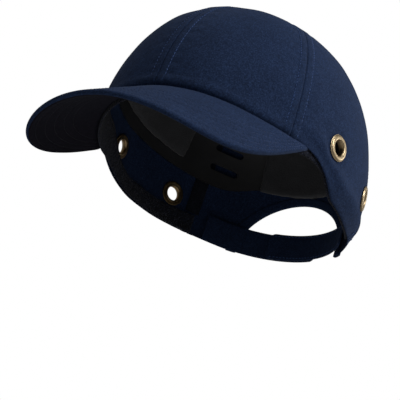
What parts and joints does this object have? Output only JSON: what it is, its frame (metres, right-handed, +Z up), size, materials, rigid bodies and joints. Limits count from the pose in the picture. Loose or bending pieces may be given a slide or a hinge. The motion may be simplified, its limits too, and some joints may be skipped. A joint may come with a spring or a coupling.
{
  "type": "bump cap",
  "caption": "Peaked six-panel cloth cap with a hard impact shell, foam lining, vent eyelets and a hook-and-loop rear strap.",
  "frame": {"origin": "centre of the head opening, level with the rim at the back", "axes": "+Z up through the crown, -Y towards the brim, +X towards the wearer's left"},
  "size_m": [0.1968, 0.2901, 0.173],
  "materials": {
    "navy_cotton": "matt navy cotton twill, topstitched",
    "underside_cloth": "matt dark navy twill",
    "seam_tape": "black woven tape",
    "brim_board": "moulded polyethylene board",
    "sweatband_terry": "dark navy towelling",
    "shell_abs": "black moulded shell, fine texture",
    "eva_foam": "charcoal closed-cell foam",
    "antique_brass": "antique brass, worn",
    "button_steel": "plated steel",
    "strap_webbing": "navy cotton strap, stitched edges",
    "hook_tape": "black hook tape",
    "loop_tape": "black loop tape"
  },
  "bodies": {
    "cap": {"front_panel_left": "navy_cotton", "front_panel_right": "navy_cotton", "side_panel_left": "navy_cotton", "side_panel_right": "navy_cotton", "rear_panel_left": "navy_cotton", "rear_panel_right": "navy_cotton", "brim_top_cover": "navy_cotton", "rear_binding": "navy_cotton", "top_button_cover": "navy_cotton", "brim_bottom_cover": "underside_cloth", "seam_tape_front": "seam_tape", "seam_tape_front_left": "seam_tape", "seam_tape_front_right": "seam_tape", "seam_tape_rear_left": "seam_tape", "seam_tape_rear_right": "seam_tape", "seam_tape_rear": "seam_tape", "brim_board": "brim_board", "sweatband": "sweatband_terry", "impact_shell": "shell_abs", "foam_pad_front": "eva_foam", "foam_pad_left": "eva_foam", "foam_pad_rear": "eva_foam", "foam_pad_right": "eva_foam", "foam_pad_top": "eva_foam", "eyelet_left_front": "antique_brass", "eyelet_left_rear": "antique_brass", "eyelet_right_front": "antique_brass", "eyelet_right_rear": "antique_brass", "eyelet_washer_left_front": "antique_brass", "eyelet_washer_left_rear": "antique_brass", "eyelet_washer_right_front": "antique_brass", "eyelet_washer_right_rear": "antique_brass", "top_button_core": "button_steel", "top_button_washer": "button_steel", "loop_strap": "strap_webbing", "loop_patch": "loop_tape"},
    "strap_anchor": {"strap_base": "strap_webbing"},
    "strap_tab": {"hook_strap": "strap_webbing", "hook_patch": "hook_tape"}
  },
  "joints": [
    {"name": "strap_adjust", "type": "hinge", "parent": "cap", "child": "strap_anchor", "pos_m": [0, 0.0376, 0.01], "axis": [0, 0, -1], "range_deg": [0, 10]},
    {"name": "strap_peel", "type": "hinge", "parent": "strap_anchor", "child": "strap_tab", "pos_m": [-0.04003, 0.10396, 0.01], "axis": [0, 0, 1], "range_deg": [0, 80]}
  ]
}
